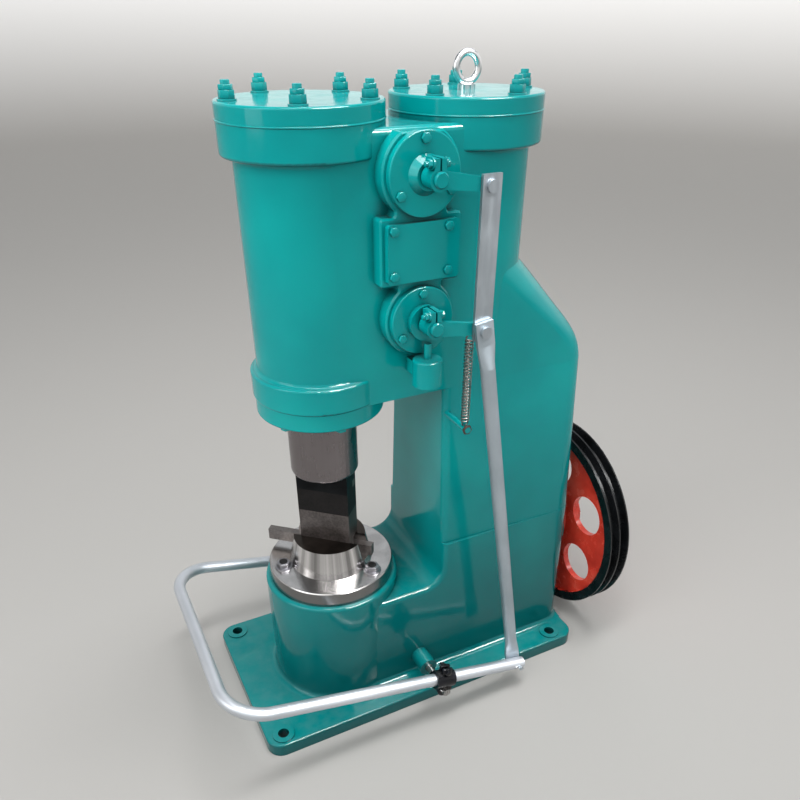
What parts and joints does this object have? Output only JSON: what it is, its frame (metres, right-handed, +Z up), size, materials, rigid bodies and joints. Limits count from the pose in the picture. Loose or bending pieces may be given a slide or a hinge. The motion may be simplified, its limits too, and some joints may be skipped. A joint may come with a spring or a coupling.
{
  "type": "pneumatic forging hammer",
  "caption": "Self-contained air forging hammer: one enamelled frame casting with twin cylinders, round ram over an anvil cap, valve levers linked to a pipe treadle, and a grooved drive pulley",
  "frame": {"origin": "centre of the four anchor holes, on the underside of the base plate", "axes": "+X from the anvil to the drive pulley, +Y away from the valve levers, +Z up along the ram"},
  "size_m": [1.0054, 0.5434, 1.275],
  "materials": {
    "teal_enamel": "gloss",
    "ground_steel": "satin",
    "turned_steel": "satin",
    "forged_die_steel": "matt",
    "dark_steel": "matt",
    "rolled_steel": "satin",
    "zinc_pipe": "satin",
    "zinc_plate": "bright",
    "black_paint": "gloss",
    "spring_steel": "oiled",
    "pulley_red": "gloss"
  },
  "bodies": {
    "frame": {"frame_casting": "teal_enamel", "ram_cylinder_cover": "teal_enamel", "compressor_cylinder_cover": "teal_enamel", "ram_gland": "teal_enamel", "anvil_cap": "turned_steel", "anvil_clamp_ring": "turned_steel", "lower_die": "forged_die_steel", "lower_die_key": "dark_steel", "upper_valve_cover": "teal_enamel", "lower_valve_cover": "teal_enamel", "chest_plate": "teal_enamel", "upper_valve_gland": "teal_enamel", "lower_valve_gland": "teal_enamel", "upper_blind_cover": "teal_enamel", "lower_blind_cover": "teal_enamel", "near_pivot_pin": "ground_steel", "far_pivot_pin": "ground_steel", "return_spring": "spring_steel", "spring_anchor": "teal_enamel", "oil_cup": "teal_enamel", "crank_bearing_cap": "teal_enamel", "lifting_eye": "zinc_plate"},
    "ram": {"ram": "ground_steel", "upper_die": "forged_die_steel", "upper_die_key": "dark_steel"},
    "pulley": {"drive_pulley": "pulley_red", "crankshaft": "ground_steel", "crank_nut": "dark_steel"},
    "treadle": {"treadle_loop": "zinc_pipe", "near_treadle_clamp": "black_paint", "far_treadle_clamp": "black_paint", "foot_pin": "rolled_steel"},
    "lower_lever": {"lower_valve_lever": "teal_enamel", "lower_valve_shaft": "teal_enamel", "lower_link_pin": "rolled_steel"},
    "upper_lever": {"upper_valve_lever": "teal_enamel", "upper_valve_shaft": "teal_enamel"},
    "link_bar": {"link_bar": "rolled_steel", "upper_link_pin": "rolled_steel"},
    "link_tube": {"link_tube": "zinc_pipe"}
  },
  "joints": [
    {"name": "ram_slide", "type": "slide", "parent": "frame", "child": "ram", "axis": [0, 0, 1], "range_m": [0, 0.13]},
    {"name": "pulley_spin", "type": "hinge", "parent": "frame", "child": "pulley", "pos_m": [0.472, 0, 0.262], "axis": [1, 0, 0], "continuous": true},
    {"name": "treadle_pivot", "type": "hinge", "parent": "frame", "child": "treadle", "pos_m": [0, 0, 0.08], "axis": [0, -1, 0], "range_deg": [0, 14], "stiffness_Nm_per_rad": 40, "springref_deg": -34.38},
    {"name": "lower_lever_turn", "type": "hinge", "parent": "frame", "child": "lower_lever", "pos_m": [-0.012, -0.18, 0.892], "axis": [0, -1, 0], "range_deg": [0, 31.88], "deforming": ["return_spring"]},
    {"name": "upper_lever_turn", "type": "hinge", "parent": "frame", "child": "upper_lever", "pos_m": [-0.012, -0.18, 1.12], "axis": [0, -1, 0], "range_deg": [0, 31.88]},
    {"name": "link_bar_pin", "type": "hinge", "parent": "lower_lever", "child": "link_bar", "pos_m": [0.07492, -0.2, 0.87823], "axis": [0, -1, 0], "range_deg": [-31.98, 0]},
    {"name": "link_tube_pin", "type": "hinge", "parent": "lower_lever", "child": "link_tube", "pos_m": [0.07492, -0.21, 0.87823], "axis": [0, -1, 0], "range_deg": [-31.98, 0]}
  ],
  "couplings": [
    {"joint": "lower_lever_turn", "follows": "treadle_pivot", "ratio": 2.27},
    {"joint": "upper_lever_turn", "follows": "treadle_pivot", "ratio": 2.27},
    {"joint": "link_bar_pin", "follows": "treadle_pivot", "ratio": -2.27},
    {"joint": "link_tube_pin", "follows": "treadle_pivot", "ratio": -2.253}
  ]
}
